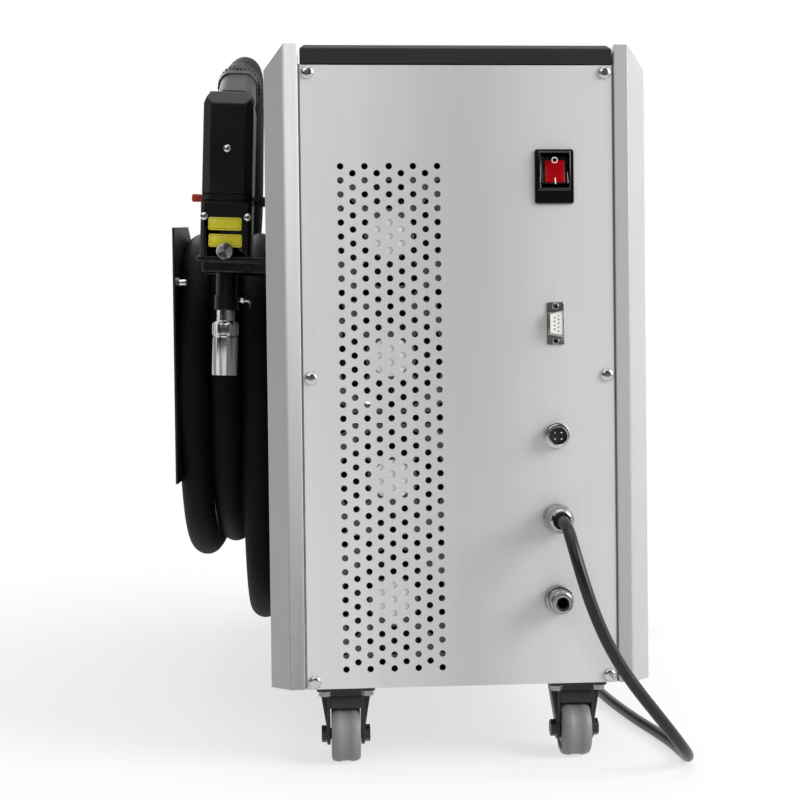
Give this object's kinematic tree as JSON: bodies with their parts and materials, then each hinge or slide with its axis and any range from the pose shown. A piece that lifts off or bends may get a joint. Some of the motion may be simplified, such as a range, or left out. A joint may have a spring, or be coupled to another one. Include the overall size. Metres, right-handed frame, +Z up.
{
  "type": "laser welding machine",
  "caption": "Wheeled cabinet with a sloping control side, a perforated rear panel with fans and fittings, and a hand torch on a coiled hose.",
  "frame": {"origin": "bottom centre of the machine without its mains cord and torch hose, on the floor", "axes": "-Y towards the rear panel of the picture, +Y towards the control side, +Z up, the torch hangs on the -X side"},
  "size_m": [0.4727, 0.7562, 0.5814],
  "materials": {
    "side_paint": "satin off-white paint",
    "panel_paint": "fine-brushed silver grey paint",
    "black_paint": "satin black powder coat",
    "frame_steel": "zinc-plated sheet",
    "bright_screws": "bright plated",
    "fan_plastic": "matt",
    "rotor_plastic": "matt",
    "switch_plastic": "glossy",
    "switch_red": "glossy, clear red lens",
    "connector_metal": "nickel plated",
    "connector_black": "matt",
    "connector_white": "matt",
    "cord_rubber": "soft sheath",
    "castor_steel": "black",
    "wheel_grey": "grey tread on a grey hub",
    "torch_black": "fine-grained black",
    "nozzle_metal": "turned and polished",
    "drawer_metal": "anodised dark",
    "button_red": "glossy",
    "button_green": "glossy",
    "hose_rubber": "ribbed black sleeve",
    "screen": "glossy, dark",
    "key_metal": "nickel plated",
    "heat_sink": "mill finish",
    "supply_metal": "zinc-plated sheet",
    "board": "solder mask"
  },
  "bodies": {
    "machine": {"left_side_panel": "side_paint", "right_side_panel": "side_paint", "rear_panel": "panel_paint", "front_panel": "panel_paint", "base_plate": "panel_paint", "top_cover": "black_paint", "control_fascia": "black_paint", "hose_rack": "black_paint", "torch_holder": "black_paint", "corner_posts": "frame_steel", "panel_screws": "bright_screws", "torch_screws": "bright_screws", "castor_bolts": "bright_screws", "fan_frames": "fan_plastic", "switch_bezel": "switch_plastic", "data_connector_shell": "connector_metal", "signal_socket_shell": "connector_metal", "cord_gland": "connector_metal", "gas_inlet": "connector_metal", "signal_socket_insert": "connector_black", "data_connector_insert": "connector_white", "mains_lead": "cord_rubber", "mains_coil": "cord_rubber", "mains_plug": "cord_rubber", "rear_castor_forks": "castor_steel", "front_castor_plates": "castor_steel", "torch_housing": "torch_black", "torch_grip": "torch_black", "torch_block": "torch_black", "torch_tube": "torch_black", "torch_clamp_ring": "torch_black", "torch_hose_nut": "torch_black", "torch_nozzle": "nozzle_metal", "hose_machine_end": "hose_rubber", "hose_turns": "hose_rubber", "hose_torch_end": "hose_rubber", "hose_outlet": "hose_rubber", "touch_screen": "screen", "laser_module": "heat_sink", "power_supply": "supply_metal", "control_board": "board"},
    "fan_1": {"fan_rotor_1": "rotor_plastic"},
    "fan_2": {"fan_rotor_2": "rotor_plastic"},
    "fan_3": {"fan_rotor_3": "rotor_plastic"},
    "fan_4": {"fan_rotor_4": "rotor_plastic"},
    "rocker": {"switch_rocker": "switch_red"},
    "rear_left_wheel": {"rear_left_wheel": "wheel_grey"},
    "rear_right_wheel": {"rear_right_wheel": "wheel_grey"},
    "front_left_fork": {"front_left_fork": "castor_steel"},
    "front_right_fork": {"front_right_fork": "castor_steel"},
    "front_left_wheel": {"front_left_wheel": "wheel_grey"},
    "front_right_wheel": {"front_right_wheel": "wheel_grey"},
    "clamp_lever": {"torch_clamp_lever": "nozzle_metal"},
    "trigger": {"torch_trigger": "button_red"},
    "torch_button": {"torch_button": "button_red"},
    "lens_drawer": {"lens_drawer": "drawer_metal"},
    "lens_drawer_knob": {"lens_drawer_knob": "nozzle_metal"},
    "emergency_stop": {"emergency_stop": "button_red"},
    "key_switch": {"key_switch": "key_metal"},
    "start_button": {"start_button": "button_green"}
  },
  "joints": [
    {"name": "fan_1_spin", "type": "hinge", "parent": "machine", "child": "fan_1", "pos_m": [-0.0079, -0.2945, 0.3837], "axis": [0, 1, 0], "continuous": true},
    {"name": "fan_2_spin", "type": "hinge", "parent": "machine", "child": "fan_2", "pos_m": [-0.0079, -0.2945, 0.2957], "axis": [0, 1, 0], "continuous": true},
    {"name": "fan_3_spin", "type": "hinge", "parent": "machine", "child": "fan_3", "pos_m": [-0.0079, -0.2945, 0.2077], "axis": [0, 1, 0], "continuous": true},
    {"name": "fan_4_spin", "type": "hinge", "parent": "machine", "child": "fan_4", "pos_m": [-0.0079, -0.2945, 0.1197], "axis": [0, 1, 0], "continuous": true},
    {"name": "rocker_tilt", "type": "hinge", "parent": "machine", "child": "rocker", "pos_m": [0.111, -0.3065, 0.4279], "axis": [1, 0, 0], "range_deg": [0, 16]},
    {"name": "rear_left_wheel_spin", "type": "hinge", "parent": "machine", "child": "rear_left_wheel", "pos_m": [-0.043, -0.285, 0.02], "axis": [1, 0, 0], "continuous": true},
    {"name": "rear_right_wheel_spin", "type": "hinge", "parent": "machine", "child": "rear_right_wheel", "pos_m": [0.126, -0.285, 0.02], "axis": [1, 0, 0], "continuous": true},
    {"name": "front_left_swivel", "type": "hinge", "parent": "machine", "child": "front_left_fork", "pos_m": [-0.043, 0.28, 0.05], "axis": [0, 0, 1], "continuous": true},
    {"name": "front_right_swivel", "type": "hinge", "parent": "machine", "child": "front_right_fork", "pos_m": [0.126, 0.28, 0.05], "axis": [0, 0, 1], "continuous": true},
    {"name": "front_left_wheel_spin", "type": "hinge", "parent": "front_left_fork", "child": "front_left_wheel", "pos_m": [-0.043, 0.264, 0.02], "axis": [1, 0, 0], "continuous": true},
    {"name": "front_right_wheel_spin", "type": "hinge", "parent": "front_right_fork", "child": "front_right_wheel", "pos_m": [0.126, 0.264, 0.02], "axis": [1, 0, 0], "continuous": true},
    {"name": "clamp_lever_turn", "type": "hinge", "parent": "machine", "child": "clamp_lever", "pos_m": [-0.12267, -0.177, 0.34354], "axis": [0.9994, 0, -0.0349], "range_deg": [-90, 90]},
    {"name": "trigger_squeeze", "type": "hinge", "parent": "machine", "child": "trigger", "pos_m": [-0.12785, -0.13289, 0.48171], "axis": [0.9994, 0, -0.0349], "range_deg": [0, 8], "stiffness_Nm_per_rad": 0.05, "springref_deg": -5.73},
    {"name": "torch_button_press", "type": "slide", "parent": "machine", "child": "torch_button", "axis": [0.9994, 0, -0.0349], "range_m": [0, 0.002], "stiffness_N_per_m": 200, "springref_m": -0.0005},
    {"name": "lens_drawer_slide", "type": "slide", "parent": "machine", "child": "lens_drawer", "axis": [0, -1, 0], "range_m": [0, 0.03]},
    {"name": "lens_drawer_knob_turn", "type": "hinge", "parent": "lens_drawer", "child": "lens_drawer_knob", "pos_m": [-0.13138, -0.205, 0.3808], "axis": [0, 1, 0], "continuous": true},
    {"name": "emergency_stop_press", "type": "slide", "parent": "machine", "child": "emergency_stop", "axis": [0, -0.6316, -0.7753], "range_m": [0, 0.004]},
    {"name": "key_turn", "type": "hinge", "parent": "machine", "child": "key_switch", "pos_m": [0.1035, 0.28969, 0.41284], "axis": [0, 0.6316, 0.7753], "range_deg": [0, 90]},
    {"name": "start_button_press", "type": "slide", "parent": "machine", "child": "start_button", "axis": [0, -0.6316, -0.7753], "range_m": [0, 0.002], "stiffness_N_per_m": 300, "springref_m": -0.0005}
  ]
}
